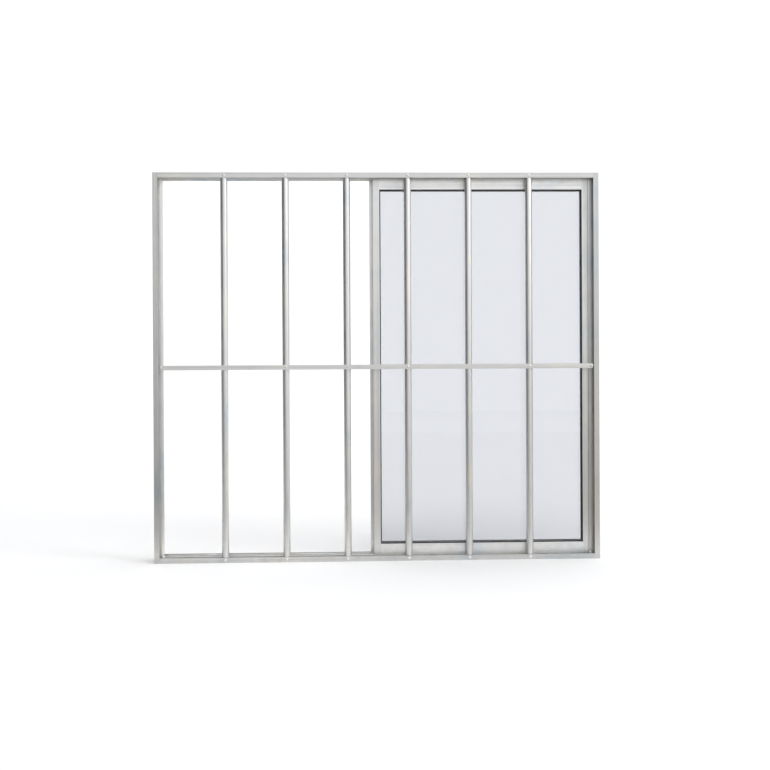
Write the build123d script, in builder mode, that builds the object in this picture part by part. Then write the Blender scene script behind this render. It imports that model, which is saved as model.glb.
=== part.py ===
from build123d import *
from collections import namedtuple
import os

# Two-sash sliding window in aluminium with a security grille riveted into its outside face.
# X runs to the right seen from the grille side, Y from the grille to the room, Z up.
# The origin is the centre of the sill's underside. All sizes are in millimetres.

# ---------------------------------------------------------------- driving dimensions
overcut = 1.0                 # how far a cutting shape runs past the faces that it opens

# Outer frame
width = 1200.0
height = 1045.0
wall = 1.6                    # wall of the frame's extrusions
flange_height = 14.0          # front flange and lips of the head and the sill
jamb_flange_width = 14.0
jamb_lip_width = 25.0         # jamb lip in front of the front sash
jamb_divider_width = 18.0     # jamb divider and rear lip
joint_gap = 0.3               # between the coped ends of head and sill and the jambs
port_radius = 3.0             # screw ports of the head and the sill
port_hole_radius = 1.7
port_height = 4.2             # port's centre above the sill's underside
port_offset = 2.4             # port's centre behind the front of its lip
port_slit = 1.6
weep_length = 20.0
weep_height = 4.0
weep_z = 9.5
weep_spacing = 300.0
weep_count = 4

# Fixings of the frame to the wall around it
fixing_hole_radius = 2.75
fixing_inset_z = 172.5        # from the top and from the bottom of the jamb
fixing_y = 11.0               # behind the front face

# Grille
bar_count = 6
bar_diameter = 19.05
bar_wall = 1.2
bar_end_gap = 0.1
bar_flange_gap = 0.1
bar_lip_gap = 1.25            # behind the bars
crossbar_height = 12.7
crossbar_thickness = 3.175
crossbar_gap = 0.05           # in front of the bars
crossbar_end_gap = 2.5        # from the crossbar's ends to the jamb flanges
crossbar_end_radius = 5.0
riveted_bars = (1, 3, 5)      # bars that the crossbar is riveted to, counted from 0
rivet_inset = 7.5             # rivets of the bars, from the frame's top and bottom edges
rivet_radius = 1.6
rivet_hole_radius = 1.7
rivet_head_radius = 3.25
rivet_head_height = 1.1
rivet_dome = (0.7, 0.75)      # the dome passes these shares of the head's radius and height
rivet_tail_radius = 2.3
rivet_tail_length = 3.5
mandrel_radius = 0.9
mandrel_depth = 0.7
end_screw_inset = 4.0         # from the crossbar's ends
end_screw_radius = 2.0
end_screw_head_radius = 4.0
end_screw_head_height = 2.4
end_screw_head_rounding = 1.2
end_screw_slot = (4.4, 0.8)   # length and width; it is cut down to half the head's height
spacer_radius = 4.5
spacer_bore_radius = 2.2
sealant_radius = 4.5
sealant_inset = 3.0           # from the jamb lip's edge

# Sashes
sash_depth = 19.0
sash_side_gap = 2.5           # between a sash and the walls beside it
sash_wall = 1.3
sash_foot = 5.0               # how far the sash stands inside the sill's lips
lift_gap = 6.0                # above the sash, to lift it off its track
jamb_stile_width = 28.0
meeting_stile_width = 18.0
top_rail_height = 35.0
rail_end_gap = 0.1
meeting_overlap = 11.0        # how far a closed sash passes the middle of the window
parked_gap = 8.0              # the rear sash rests this far from its stop
pocket_width = 7.0
pocket_depth = 9.5
glass_thickness = 3.0
gasket_floor_gap = 0.2
gasket_base = 1.2
gasket_proud = 2.0
mitre_gap = 0.1               # between the gasket's strips
hook_wall = 1.2
hook_inset = 7.0              # from the meeting edge
hook_reach = 5.5
hook_end_gap = 0.3
rail_port_radius = 2.4
rail_port_hole_radius = 1.45
rail_port_offset = 2.05       # port's centre from the chamber's walls
corner_screw_radius = 1.4
corner_screw_length = 14.0    # inside the rail's port
corner_screw_head_radius = 1.9
corner_screw_head_height = 2.0
corner_screw_hole_radius = 1.5
access_hole_radius = 2.4
brush_thickness = 2.1
brush_margin = 0.2
brush_end_margin = 0.5
jamb_brush_width = 4.0

# Tracks and rollers
track_thickness = 2.0
track_height = 13.0
track_gap = 0.2               # between the track and the roller's groove
track_notch = 8.0             # width of the notch in the foot of each stile
track_notch_gap = 2.0         # above the track
groove_radius = 7.5
groove_side_gap = 0.3
roller_flange = 1.5
roller_width = 4.6
roller_inset = 90.0           # from the sash's edges
axle_radius = 2.0
axle_gap = 0.05
housing_wall = 1.0
housing_side_gap = 0.3
housing_head_gap = 0.5
housing_length = 36.0
housing_foot_z = 14.5
housing_foot = 1.0

# Stops, keepers and latches
stop_length = 11.1            # how far a rubber stop stands off the jamb
stop_gap = 0.3
stop_width = 12.0
stop_height = 30.0
stop_edge_radius = 2.8
stop_inset = 100.0
latch_travel = 8.0
case_width = 11.8
case_length = 69.8
case_gap = 0.1
case_wall = 0.9
case_depth = 6.0
case_flange = 0.7
case_flange_width = 15.0
case_flange_length = 88.0
case_inset = 9.0              # centre of the case from the stile's edge
case_screw_spacing = 80.0
case_screw_radius = 1.4
case_screw_head_radius = 2.2
case_screw_length = 5.0
case_screw_slot = (3.2, 0.5)  # length and width; it is cut half through the head
knob_width = 9.0
knob_length = 22.0
knob_height = 4.3
knob_grooves = 4
knob_groove_pitch = 3.4
knob_groove_width = 1.2
knob_groove_depth = 1.0
neck_width = 3.4
neck_length = 8.0
slider_gap = 0.3
bolt_thickness = 3.5
bolt_width = 9.8
bolt_length = 21.0
bolt_rise = 7.0               # top of the bolt above the latch's centre, unlocked
lug_reach = 7.0               # how far the keeper's lug stands inside the closed stile
lug_height = 6.0
lug_tip_width = 2.5
lug_tip_drop = 4.0
lug_gap = 1.0                 # below the lug's tip with the bolt fully up
keeper_thickness = 1.5
keeper_width = 11.0
keeper_length = 60.0
keeper_screw_spacing = 46.0
keeper_screw_radius = 1.6
keeper_screw_head_radius = 3.0
keeper_screw_head_height = 1.4
keeper_slot_margin = 2.0
screw_hole_gap = 0.1
frame_screw_radius = 1.65
frame_screw_head_radius = 3.3
frame_screw_cone = 1.5
frame_screw_length = 22.0
frame_screw_recess = (4.0, 1.0)   # length and width of each arm of the cross
frame_screw_recess_depth = 1.0

# ---------------------------------------------------------------- places worked out from them
grille_space = bar_flange_gap + bar_diameter + bar_lip_gap
channel_width = sash_depth + 2 * sash_side_gap
depth = 4 * wall + grille_space + 2 * channel_width
y_front = -depth / 2
y_lip = y_front + wall + grille_space
y_divider = y_lip + wall + channel_width
y_rear = y_divider + wall + channel_width
y_back = depth / 2
y_bar = y_front + wall + bar_flange_gap + bar_diameter / 2
y_port = (y_lip + port_offset, y_divider + port_offset)
x_web = width / 2 - wall
x_jamb_lip = width / 2 - jamb_lip_width
lip_end_z = flange_height + joint_gap
middle_z = height / 2
bay = 2 * x_jamb_lip / (bar_count + 1)
bar_xs = [-x_jamb_lip + bay * (i + 1) for i in range(bar_count)]
crossbar_half = width / 2 - jamb_flange_width - crossbar_end_gap
y_crossbar = y_bar - bar_diameter / 2 - crossbar_gap
end_screw_x = crossbar_half - end_screw_inset

sash_bottom = flange_height - sash_foot
sash_top = height - wall - lift_gap
closed_edge = x_web - stop_length - stop_gap
sash_width = closed_edge + meeting_overlap
sash_gap = 2 * sash_side_gap + wall
hook_space = (sash_gap - 2 * hook_wall) / 3
pocket_side = (sash_depth - pocket_width) / 2
roller_z = track_height + track_gap + groove_radius
roller_radius = groove_radius + roller_flange
web_z = roller_z + roller_radius + housing_head_gap + housing_wall
bottom_rail_top = web_z + sash_wall + pocket_depth
top_rail_bottom = sash_top - top_rail_height
gasket_depth = pocket_depth - gasket_floor_gap
housing_half = roller_width / 2 + housing_side_gap + housing_wall
port_t = (sash_wall + rail_port_offset, sash_depth - sash_wall - rail_port_offset)
corner_port_zs = (web_z - rail_port_offset,
                  top_rail_bottom + pocket_depth + sash_wall + rail_port_offset)
case_floor_t = sash_depth - case_depth
bolt_t = case_floor_t - slider_gap - bolt_thickness
lug_tip_z = middle_z + bolt_rise + latch_travel + lug_gap
lug_z = lug_tip_z + lug_tip_drop
keeper_z = lug_z + lug_height / 2

# A sash runs from its jamb edge in the direction run; its front face is at y, its hook stands
# off hook_face towards hook_out, and its upright brush off outer_face towards outer_out.
Sash = namedtuple("Sash", "name jamb_edge run y hook_face hook_out outer_face outer_out")
front_y = y_lip + wall + sash_side_gap
rear_y = y_divider + wall + sash_side_gap
sashes = (
    Sash("front", closed_edge, -1, front_y, front_y + sash_depth, 1, front_y, -1),
    Sash("rear", closed_edge - parked_gap - sash_width, 1, rear_y, rear_y, -1,
         rear_y + sash_depth, 1),
)


# ---------------------------------------------------------------- shared shapes
def rectangle_between(low, high, mode=Mode.ADD):
    """Rectangle between two opposite corners, in the sketch in hand."""
    with Locations(((low[0] + high[0]) / 2, (low[1] + high[1]) / 2)):
        Rectangle(abs(high[0] - low[0]), abs(high[1] - low[1]), mode=mode)


def box_between(low, high, mode=Mode.ADD):
    """Box between two opposite corners, in the part in hand."""
    with Locations(tuple((a + b) / 2 for a, b in zip(low, high))):
        Box(*(abs(b - a) for a, b in zip(low, high)), mode=mode)


def rod(start, axis, radius, length, mode=Mode.ADD):
    """Round rod from a start point along an axis, in the part in hand."""
    with Locations(Plane(origin=start, z_dir=axis)):
        Cylinder(radius, length, align=(Align.CENTER, Align.CENTER, Align.MIN), mode=mode)


def save(part, name):
    """Label a finished piece and write its file."""
    part.label = name
    export_step(part, f"parts/{name}.step")


def sash_x(sash, run):
    """X of the point that lies run from the sash's jamb edge."""
    return sash.jamb_edge + sash.run * run


# ---------------------------------------------------------------- outer frame
def frame_rail(floor, up):
    """Head (up = -1) or sill (up = 1). Only the sill has tracks and weep slots."""
    with BuildPart() as rail:
        rail_half = x_web - joint_gap
        with BuildSketch(Plane.YZ.offset(-rail_half)):
            rectangle_between((y_front, floor), (y_back, floor + up * wall))
            for y in (y_front, y_lip, y_divider, y_rear):
                rectangle_between((y, floor), (y + wall, floor + up * flange_height))
            for y in y_port:
                with Locations((y, floor + up * port_height)):
                    Circle(port_radius)
            for y in y_port:
                with Locations((y, floor + up * port_height)):
                    Circle(port_hole_radius, mode=Mode.SUBTRACT)
                rectangle_between((y - port_slit / 2, floor + up * port_height),
                                  (y + port_slit / 2, floor + up * (port_height + 2 * port_radius)),
                                  Mode.SUBTRACT)
            if up > 0:
                for y in (front_y, rear_y):
                    track_y = y + sash_depth / 2
                    rectangle_between((track_y - track_thickness / 2, floor),
                                      (track_y + track_thickness / 2,
                                       floor + track_height - track_thickness / 2))
                    with Locations((track_y, floor + track_height - track_thickness / 2)):
                        Circle(track_thickness / 2)
        extrude(amount=2 * rail_half)
        # the ends are coped round the jambs' front flanges and rear lips
        z_far = floor + up * (flange_height + overcut)
        for side in (-1, 1):
            cope = width / 2 - jamb_flange_width - joint_gap
            box_between((side * cope, y_front - overcut, floor - up * overcut),
                        (side * width, y_front + wall + joint_gap, z_far), Mode.SUBTRACT)
            cope = width / 2 - jamb_divider_width - joint_gap
            box_between((side * cope, y_rear - joint_gap, floor - up * overcut),
                        (side * width, y_back + overcut, z_far), Mode.SUBTRACT)
        for x in bar_xs:
            rod((x, y_front - overcut, floor + up * rivet_inset), (0, 1, 0), rivet_hole_radius,
                wall + 2 * overcut, Mode.SUBTRACT)
        if up > 0:
            for i in range(weep_count):
                x = weep_spacing * (i - (weep_count - 1) / 2)
                for y in (y_lip, y_divider, y_rear):
                    box_between((x - weep_length / 2, y - overcut, weep_z - weep_height / 2),
                                (x + weep_length / 2, y + wall + overcut, weep_z + weep_height / 2),
                                Mode.SUBTRACT)
    return rail.part


def jamb(side):
    """Left (side = -1) or right (side = 1) jamb."""
    outer = side * width / 2
    with BuildPart() as piece:
        with BuildSketch(Plane.XY):
            rectangle_between((outer, y_front), (side * x_web, y_back))
            rectangle_between((outer, y_front), (outer - side * jamb_flange_width, y_front + wall))
            rectangle_between((outer, y_rear), (outer - side * jamb_divider_width, y_back))
        extrude(amount=height)
        with BuildSketch(Plane.XY.offset(lip_end_z)):
            rectangle_between((outer, y_lip), (outer - side * jamb_lip_width, y_lip + wall))
            rectangle_between((outer, y_divider), (outer - side * jamb_divider_width, y_divider + wall))
        extrude(amount=height - 2 * lip_end_z)
        for z in (fixing_inset_z, height - fixing_inset_z):
            rod((side * (x_web - overcut), y_front + fixing_y, z), (side, 0, 0), fixing_hole_radius,
                wall + 2 * overcut, Mode.SUBTRACT)
        for y in y_port:
            for z in (port_height, height - port_height):
                with Locations(Plane(origin=(outer, y, z), z_dir=(side, 0, 0))):
                    CounterSinkHole(frame_screw_radius + screw_hole_gap,
                                    frame_screw_head_radius + screw_hole_gap / 2, depth=2 * wall)
        rod((side * end_screw_x, y_lip - overcut, middle_z), (0, 1, 0), end_screw_radius,
            wall + 2 * overcut, Mode.SUBTRACT)
        keeper_y = (front_y if side > 0 else rear_y) + bolt_t + bolt_thickness / 2
        for z in (keeper_z - keeper_screw_spacing / 2, keeper_z + keeper_screw_spacing / 2):
            rod((side * (x_web - overcut), keeper_y, z), (side, 0, 0), keeper_screw_radius,
                wall + 2 * overcut, Mode.SUBTRACT)
    return piece.part


def frame_screws():
    """Eight countersunk screws through the jambs into the ports of the head and the sill."""
    with BuildPart() as screws:
        for side in (-1, 1):
            for y in y_port:
                for z in (port_height, height - port_height):
                    rod((side * width / 2, y, z), (-side, 0, 0), frame_screw_radius, frame_screw_length)
                    with Locations(Plane(origin=(side * width / 2, y, z), z_dir=(-side, 0, 0))):
                        Cone(frame_screw_head_radius, frame_screw_radius, frame_screw_cone,
                             align=(Align.CENTER, Align.CENTER, Align.MIN))
                    # cross recess
                    floor = side * (width / 2 - frame_screw_recess_depth)
                    long, short = frame_screw_recess
                    for arm_y, arm_z in ((long / 2, short / 2), (short / 2, long / 2)):
                        box_between((floor, y - arm_y, z - arm_z),
                                    (side * (width / 2 + overcut), y + arm_y, z + arm_z), Mode.SUBTRACT)
    return screws.part


# ---------------------------------------------------------------- grille
def grille_bar(x, riveted):
    """Round tube that stands behind the flanges of the head and the sill."""
    foot = wall + bar_end_gap
    with BuildPart() as bar:
        with BuildSketch(Plane.XY.offset(foot)):
            with Locations((x, y_bar)):
                Circle(bar_diameter / 2)
                Circle(bar_diameter / 2 - bar_wall, mode=Mode.SUBTRACT)
        extrude(amount=height - 2 * foot)
        zs = [rivet_inset, height - rivet_inset] + ([middle_z] if riveted else [])
        for z in zs:
            rod((x, y_front, z), (0, 1, 0), rivet_hole_radius, y_bar - y_front, Mode.SUBTRACT)
    return bar.part


def rivet(grip):
    """Blind rivet about +Z: its head stands on z = 0, its set tail starts at -grip."""
    with BuildPart() as piece:
        with BuildSketch(Plane.XZ):
            with BuildLine():
                Polyline((0, rivet_head_height - mandrel_depth),
                         (mandrel_radius, rivet_head_height - mandrel_depth),
                         (mandrel_radius, rivet_head_height))
                ThreePointArc((mandrel_radius, rivet_head_height),
                              (rivet_head_radius * rivet_dome[0], rivet_head_height * rivet_dome[1]),
                              (rivet_head_radius, 0))
                Polyline((rivet_head_radius, 0), (rivet_radius, 0), (rivet_radius, -grip),
                         (rivet_tail_radius, -grip - rivet_tail_length / 4),
                         (rivet_tail_radius, -grip - rivet_tail_length * 3 / 4),
                         (rivet_radius, -grip - rivet_tail_length), (0, -grip - rivet_tail_length),
                         (0, rivet_head_height - mandrel_depth))
            make_face()
        revolve(axis=Axis.Z)
    return piece.part


def rivet_group(xs, face_y, z, grip):
    """Rivets in a row, with their heads on the face at face_y."""
    one = rivet(grip)
    with BuildPart() as rivets:
        with Locations(*[Plane(origin=(x, face_y, z), x_dir=(1, 0, 0), z_dir=(0, -1, 0)) for x in xs]):
            add(one)
    return rivets.part


def grille_crossbar():
    """Flat bar with rounded ends, in front of the tubes."""
    with BuildPart() as bar:
        with BuildSketch(Plane.XZ.offset(-y_crossbar)):
            with Locations((0, middle_z)):
                RectangleRounded(2 * crossbar_half, crossbar_height, crossbar_end_radius)
        extrude(amount=crossbar_thickness)
        for i in riveted_bars:
            rod((bar_xs[i], y_crossbar + overcut, middle_z), (0, -1, 0), rivet_hole_radius,
                crossbar_thickness + 2 * overcut, Mode.SUBTRACT)
        for side in (-1, 1):
            rod((side * end_screw_x, y_crossbar + overcut, middle_z), (0, -1, 0), spacer_bore_radius,
                crossbar_thickness + 2 * overcut, Mode.SUBTRACT)
    return bar.part


def crossbar_end_spacers():
    """Round spacers between the crossbar's ends and the jamb lips."""
    with BuildPart() as spacers:
        for side in (-1, 1):
            rod((side * end_screw_x, y_crossbar, middle_z), (0, 1, 0), spacer_radius, y_lip - y_crossbar)
            rod((side * end_screw_x, y_crossbar, middle_z), (0, 1, 0), spacer_bore_radius,
                y_lip - y_crossbar, Mode.SUBTRACT)
    return spacers.part


def crossbar_end_screws():
    """Pan-head screws through the crossbar and the spacers, tapped into the jamb lips."""
    with BuildPart() as screws:
        face = y_crossbar - crossbar_thickness
        for side in (-1, 1):
            start = (side * end_screw_x, face, middle_z)
            rod(start, (0, 1, 0), end_screw_radius, y_lip + wall - face)
            rod(start, (0, -1, 0), end_screw_head_radius, end_screw_head_height)
        heads = screws.edges().filter_by(GeomType.CIRCLE).group_by(Axis.Y)[0]
        fillet(heads, end_screw_head_rounding)
        for side in (-1, 1):
            box_between((side * end_screw_x - end_screw_slot[0] / 2, face - end_screw_head_height - overcut,
                         middle_z - end_screw_slot[1] / 2),
                        (side * end_screw_x + end_screw_slot[0] / 2, face - end_screw_head_height / 2,
                         middle_z + end_screw_slot[1] / 2), Mode.SUBTRACT)
    return screws.part


def corner_sealant():
    """Dabs of sealant over the joint between the sill's lip and the foot of each jamb lip."""
    with BuildPart() as dabs:
        for side in (-1, 1):
            with Locations((side * (x_jamb_lip + sealant_inset), y_lip, flange_height + joint_gap / 2)):
                Sphere(sealant_radius)
        split(bisect_by=Plane(origin=(0, y_lip, 0), z_dir=(0, -1, 0)), keep=Keep.TOP)
    return dabs.part


# ---------------------------------------------------------------- sashes
def stile_section(y, edge, inward, stile_width):
    """Hollow stile from its outer edge towards inward, with the glazing pocket in its inner edge."""
    inner = edge + inward * stile_width
    pocket = inner - inward * pocket_depth
    rectangle_between((edge, y), (inner, y + sash_depth))
    rectangle_between((edge + inward * sash_wall, y + sash_wall),
                      (pocket - inward * sash_wall, y + sash_depth - sash_wall), Mode.SUBTRACT)
    rectangle_between((pocket, y + pocket_side), (inner, y + sash_depth - pocket_side), Mode.SUBTRACT)
    for t in (sash_wall, sash_depth - pocket_side + sash_wall):
        rectangle_between((pocket, y + t), (inner - inward * sash_wall, y + t + pocket_side - 2 * sash_wall),
                          Mode.SUBTRACT)


def stile_cuts(sash, edge, inward, stile_width):
    """Notch over the track, and the holes of the corner screws."""
    inner = edge + inward * stile_width
    middle_y = sash.y + sash_depth / 2
    past = inward * overcut
    box_between((edge - past, middle_y - track_notch / 2, sash_bottom - overcut),
                (inner + past, middle_y + track_notch / 2, track_height + track_notch_gap), Mode.SUBTRACT)
    seat = inner - inward * (pocket_depth + sash_wall)
    for t in port_t:
        for z in corner_port_zs:
            rod((edge - past, sash.y + t, z), (inward, 0, 0), access_hole_radius,
                overcut + 2 * sash_wall, Mode.SUBTRACT)
            rod((seat - past, sash.y + t, z), (inward, 0, 0), corner_screw_hole_radius,
                pocket_depth + sash_wall + 2 * overcut, Mode.SUBTRACT)


def meeting_stile(sash):
    """Stile that overlaps the other sash, with the interlock hook on the face towards it."""
    edge = sash_x(sash, sash_width)
    inward = -sash.run
    with BuildPart() as stile:
        with BuildSketch(Plane.XY.offset(sash_bottom)):
            stile_section(sash.y, edge, inward, meeting_stile_width)
        extrude(amount=sash_top - sash_bottom)
        stile_cuts(sash, edge, inward, meeting_stile_width)
        hook_x = edge + inward * hook_inset
        # the front sash's hook reaches past the rear one's, which lies nearer the front sash
        tongue = sash.hook_face + sash.hook_out * (2 * hook_space + hook_wall)
        with BuildSketch(Plane.XY.offset(flange_height + hook_end_gap)):
            rectangle_between((hook_x, sash.hook_face), (hook_x + inward * hook_wall,
                                                         tongue + sash.hook_out * hook_wall))
            rectangle_between((hook_x, tongue),
                              (hook_x + inward * hook_reach, tongue + sash.hook_out * hook_wall))
        extrude(amount=height - 2 * (flange_height + hook_end_gap))
    return stile.part


def jamb_stile(sash):
    """Stile at the jamb, with the slot for the keeper and the opening for the latch case."""
    with BuildPart() as stile:
        with BuildSketch(Plane.XY.offset(sash_bottom)):
            stile_section(sash.y, sash.jamb_edge, sash.run, jamb_stile_width)
        extrude(amount=sash_top - sash_bottom)
        stile_cuts(sash, sash.jamb_edge, sash.run, jamb_stile_width)
        box_between((sash_x(sash, -overcut), sash.y + bolt_t - slider_gap, lug_tip_z - keeper_slot_margin),
                    (sash_x(sash, sash_wall + overcut), sash.y + bolt_t + bolt_thickness + slider_gap,
                     lug_z + lug_height + keeper_slot_margin), Mode.SUBTRACT)
        half = case_width / 2 + case_gap
        box_between((sash_x(sash, case_inset - half), sash.y + sash_depth - 2 * sash_wall,
                     middle_z - case_length / 2 - case_gap),
                    (sash_x(sash, case_inset + half), sash.y + sash_depth + overcut,
                     middle_z + case_length / 2 + case_gap), Mode.SUBTRACT)
        for z in (middle_z - case_screw_spacing / 2, middle_z + case_screw_spacing / 2):
            rod((sash_x(sash, case_inset), sash.y + sash_depth + overcut, z), (0, -1, 0), case_screw_radius,
                sash_wall + 2 * overcut, Mode.SUBTRACT)
    return stile.part


def rail_section(y, edge, pocket, inward, closed):
    """Rail between its outer edge and its glazing pocket's floor; an open one is an inverted trough."""
    inner = pocket + inward * pocket_depth
    rectangle_between((y, edge), (y + sash_depth, inner))
    chamber = edge + inward * sash_wall if closed else edge
    rectangle_between((y + sash_wall, chamber), (y + sash_depth - sash_wall, pocket - inward * sash_wall),
                      Mode.SUBTRACT)
    rectangle_between((y + pocket_side, pocket), (y + sash_depth - pocket_side, inner), Mode.SUBTRACT)
    for t in (sash_wall, sash_depth - pocket_side + sash_wall):
        rectangle_between((y + t, pocket), (y + t + pocket_side - 2 * sash_wall, inner - inward * sash_wall),
                          Mode.SUBTRACT)
    port_z = pocket - inward * (sash_wall + rail_port_offset)
    for t in port_t:
        with Locations((y + t, port_z)):
            Circle(rail_port_radius)
            Circle(rail_port_hole_radius, mode=Mode.SUBTRACT)


def sash_rail(sash, edge, pocket, inward, closed):
    """Top or bottom rail, cut square between the stiles."""
    near = sash_x(sash, jamb_stile_width + rail_end_gap)
    far = sash_x(sash, sash_width - meeting_stile_width - rail_end_gap)
    with BuildPart() as rail:
        with BuildSketch(Plane.YZ.offset(min(near, far))):
            rail_section(sash.y, edge, pocket, inward, closed)
        extrude(amount=abs(far - near))
    return rail.part


def pane_edges(sash):
    """Visible metal edges round the pane: low x, high x, low z, high z."""
    xs = sorted((sash_x(sash, jamb_stile_width), sash_x(sash, sash_width - meeting_stile_width)))
    return xs[0], xs[1], bottom_rail_top, top_rail_bottom


def sash_glass(sash):
    """Pane, seated on the gasket's base all round."""
    x0, x1, z0, z1 = pane_edges(sash)
    bite = gasket_depth - gasket_base
    y = sash.y + sash_depth / 2
    with BuildPart() as glass:
        box_between((x0 - bite, y - glass_thickness / 2, z0 - bite),
                    (x1 + bite, y + glass_thickness / 2, z1 + bite))
    return glass.part


def sash_gasket(sash):
    """Black glazing channel in four strips, mitred at the corners."""
    x0, x1, z0, z1 = pane_edges(sash)
    x0, x1, z0, z1 = x0 - gasket_depth, x1 + gasket_depth, z0 - gasket_depth, z1 + gasket_depth
    y = sash.y + sash_depth / 2
    reach = gasket_depth + gasket_proud
    outer = [Vector(x0, z0), Vector(x1, z0), Vector(x1, z1), Vector(x0, z1)]
    inner = [Vector(x0 + reach, z0 + reach), Vector(x1 - reach, z0 + reach),
             Vector(x1 - reach, z1 - reach), Vector(x0 + reach, z1 - reach)]
    glass = sash_glass(sash)
    with BuildPart() as gasket:
        for i in range(4):
            j = (i + 1) % 4
            gap = (outer[j] - outer[i]).normalized() * mitre_gap / 2
            with BuildSketch(Plane.XZ.offset(-y - pocket_width / 2)):
                with BuildLine():
                    Polyline(outer[i] + gap, outer[j] - gap, inner[j] - gap, inner[i] + gap, close=True)
                make_face()
            extrude(amount=pocket_width)
        add(glass, mode=Mode.SUBTRACT)
    return gasket.part


def sash_corner_screws(sash):
    """Screws from inside the stiles into the rails' ports."""
    with BuildPart() as screws:
        for edge, inward, stile_width in ((sash.jamb_edge, sash.run, jamb_stile_width),
                                          (sash_x(sash, sash_width), -sash.run, meeting_stile_width)):
            seat = edge + inward * (stile_width - pocket_depth - sash_wall)
            for t in port_t:
                for z in corner_port_zs:
                    rod((seat, sash.y + t, z), (inward, 0, 0), corner_screw_radius,
                        pocket_depth + sash_wall + rail_end_gap + corner_screw_length)
                    rod((seat, sash.y + t, z), (-inward, 0, 0), corner_screw_head_radius,
                        corner_screw_head_height)
    return screws.part


def sash_brushes(sash):
    """Pile strips: both faces of the two rails, and the jamb stile's outer face."""
    x0, x1 = sash_x(sash, brush_end_margin), sash_x(sash, sash_width - brush_end_margin)
    with BuildPart() as brushes:
        for z0, z1 in ((sash_bottom + brush_margin, flange_height - brush_margin),
                       (height - flange_height + brush_margin, sash_top - brush_margin)):
            box_between((x0, sash.y - brush_thickness, z0), (x1, sash.y, z1))
            box_between((x0, sash.y + sash_depth, z0), (x1, sash.y + sash_depth + brush_thickness, z1))
        # the upright strip is in two lengths, because the latch case stands between them
        break_half = case_flange_length / 2 + brush_end_margin
        for z0, z1 in ((lip_end_z, middle_z - break_half), (middle_z + break_half, height - lip_end_z)):
            box_between((x0, sash.outer_face, z0),
                        (sash_x(sash, brush_end_margin + jamb_brush_width),
                         sash.outer_face + sash.outer_out * brush_thickness, z1))
    return brushes.part


# ---------------------------------------------------------------- rollers
def roller_places(sash):
    """Name and X of each roller, from left to right."""
    xs = sorted((sash_x(sash, roller_inset), sash_x(sash, sash_width - roller_inset)))
    return zip(("left", "right"), xs)


def roller(x, y):
    """Grooved roller on the track."""
    with BuildPart() as wheel:
        groove_half = track_thickness / 2 + groove_side_gap
        with BuildSketch(Plane.XY.offset(roller_z)):
            with BuildLine():
                Polyline((x + axle_radius + axle_gap, y - roller_width / 2),
                         (x + roller_radius, y - roller_width / 2),
                         (x + roller_radius, y - groove_half), (x + groove_radius, y - groove_half),
                         (x + groove_radius, y + groove_half), (x + roller_radius, y + groove_half),
                         (x + roller_radius, y + roller_width / 2),
                         (x + axle_radius + axle_gap, y + roller_width / 2), close=True)
            make_face()
        revolve(axis=Axis((x, y, roller_z), (0, 1, 0)))
    return wheel.part


def roller_housings(sash):
    """Folded housings under the bottom rail's web, open below over the track."""
    y = sash.y + sash_depth / 2
    with BuildPart() as housings:
        for _, x in roller_places(sash):
            x0, x1 = x - housing_length / 2, x + housing_length / 2
            box_between((x0, y - housing_half, housing_foot_z), (x1, y + housing_half, web_z))
            box_between((x0, sash.y + sash_wall, housing_foot_z),
                        (x1, sash.y + sash_depth - sash_wall, housing_foot_z + housing_foot))
            inside = housing_half - housing_wall
            box_between((x0 - overcut, y - inside, housing_foot_z - overcut),
                        (x1 + overcut, y + inside, web_z - housing_wall), Mode.SUBTRACT)
            rod((x, y - housing_half - overcut, roller_z), (0, 1, 0), axle_radius + axle_gap,
                2 * housing_half + 2 * overcut, Mode.SUBTRACT)
    return housings.part


def roller_axles(sash):
    """Plain pins across the housings."""
    y = sash.y + sash_depth / 2
    with BuildPart() as axles:
        for _, x in roller_places(sash):
            rod((x, y - housing_half, roller_z), (0, 1, 0), axle_radius, 2 * housing_half)
    return axles.part


# ---------------------------------------------------------------- stops, keepers and latches
def jamb_stops(side):
    """Rubber buffers on the jamb's web, two in each channel."""
    with BuildPart() as stops:
        for y in (front_y, rear_y):
            for z in (stop_inset, height - stop_inset):
                middle = y + sash_depth / 2
                box_between((side * x_web, middle - stop_width / 2, z - stop_height / 2),
                            (side * (x_web - stop_length), middle + stop_width / 2, z + stop_height / 2))
        free_ends = stops.faces().filter_by(Axis.X).sort_by(Axis.X)
        free_ends = free_ends[:4] if side > 0 else free_ends[-4:]
        fillet(free_ends.edges(), stop_edge_radius)
    return stops.part


def keeper(side, y):
    """Strike plate on the jamb's web, with a hooked lug that enters the closed stile."""
    middle = y + bolt_t + bolt_thickness / 2
    plate = x_web - keeper_thickness
    tip = closed_edge - lug_reach
    with BuildPart() as piece:
        box_between((side * x_web, middle - keeper_width / 2, keeper_z - keeper_length / 2),
                    (side * plate, middle + keeper_width / 2, keeper_z + keeper_length / 2))
        box_between((side * plate, y + bolt_t, lug_z),
                    (side * tip, y + bolt_t + bolt_thickness, lug_z + lug_height))
        box_between((side * (tip + lug_tip_width), y + bolt_t, lug_tip_z),
                    (side * tip, y + bolt_t + bolt_thickness, lug_z))
        for z in (keeper_z - keeper_screw_spacing / 2, keeper_z + keeper_screw_spacing / 2):
            rod((side * (plate - overcut), middle, z), (side, 0, 0), keeper_screw_radius + screw_hole_gap,
                keeper_thickness + 2 * overcut, Mode.SUBTRACT)
    return piece.part


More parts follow.
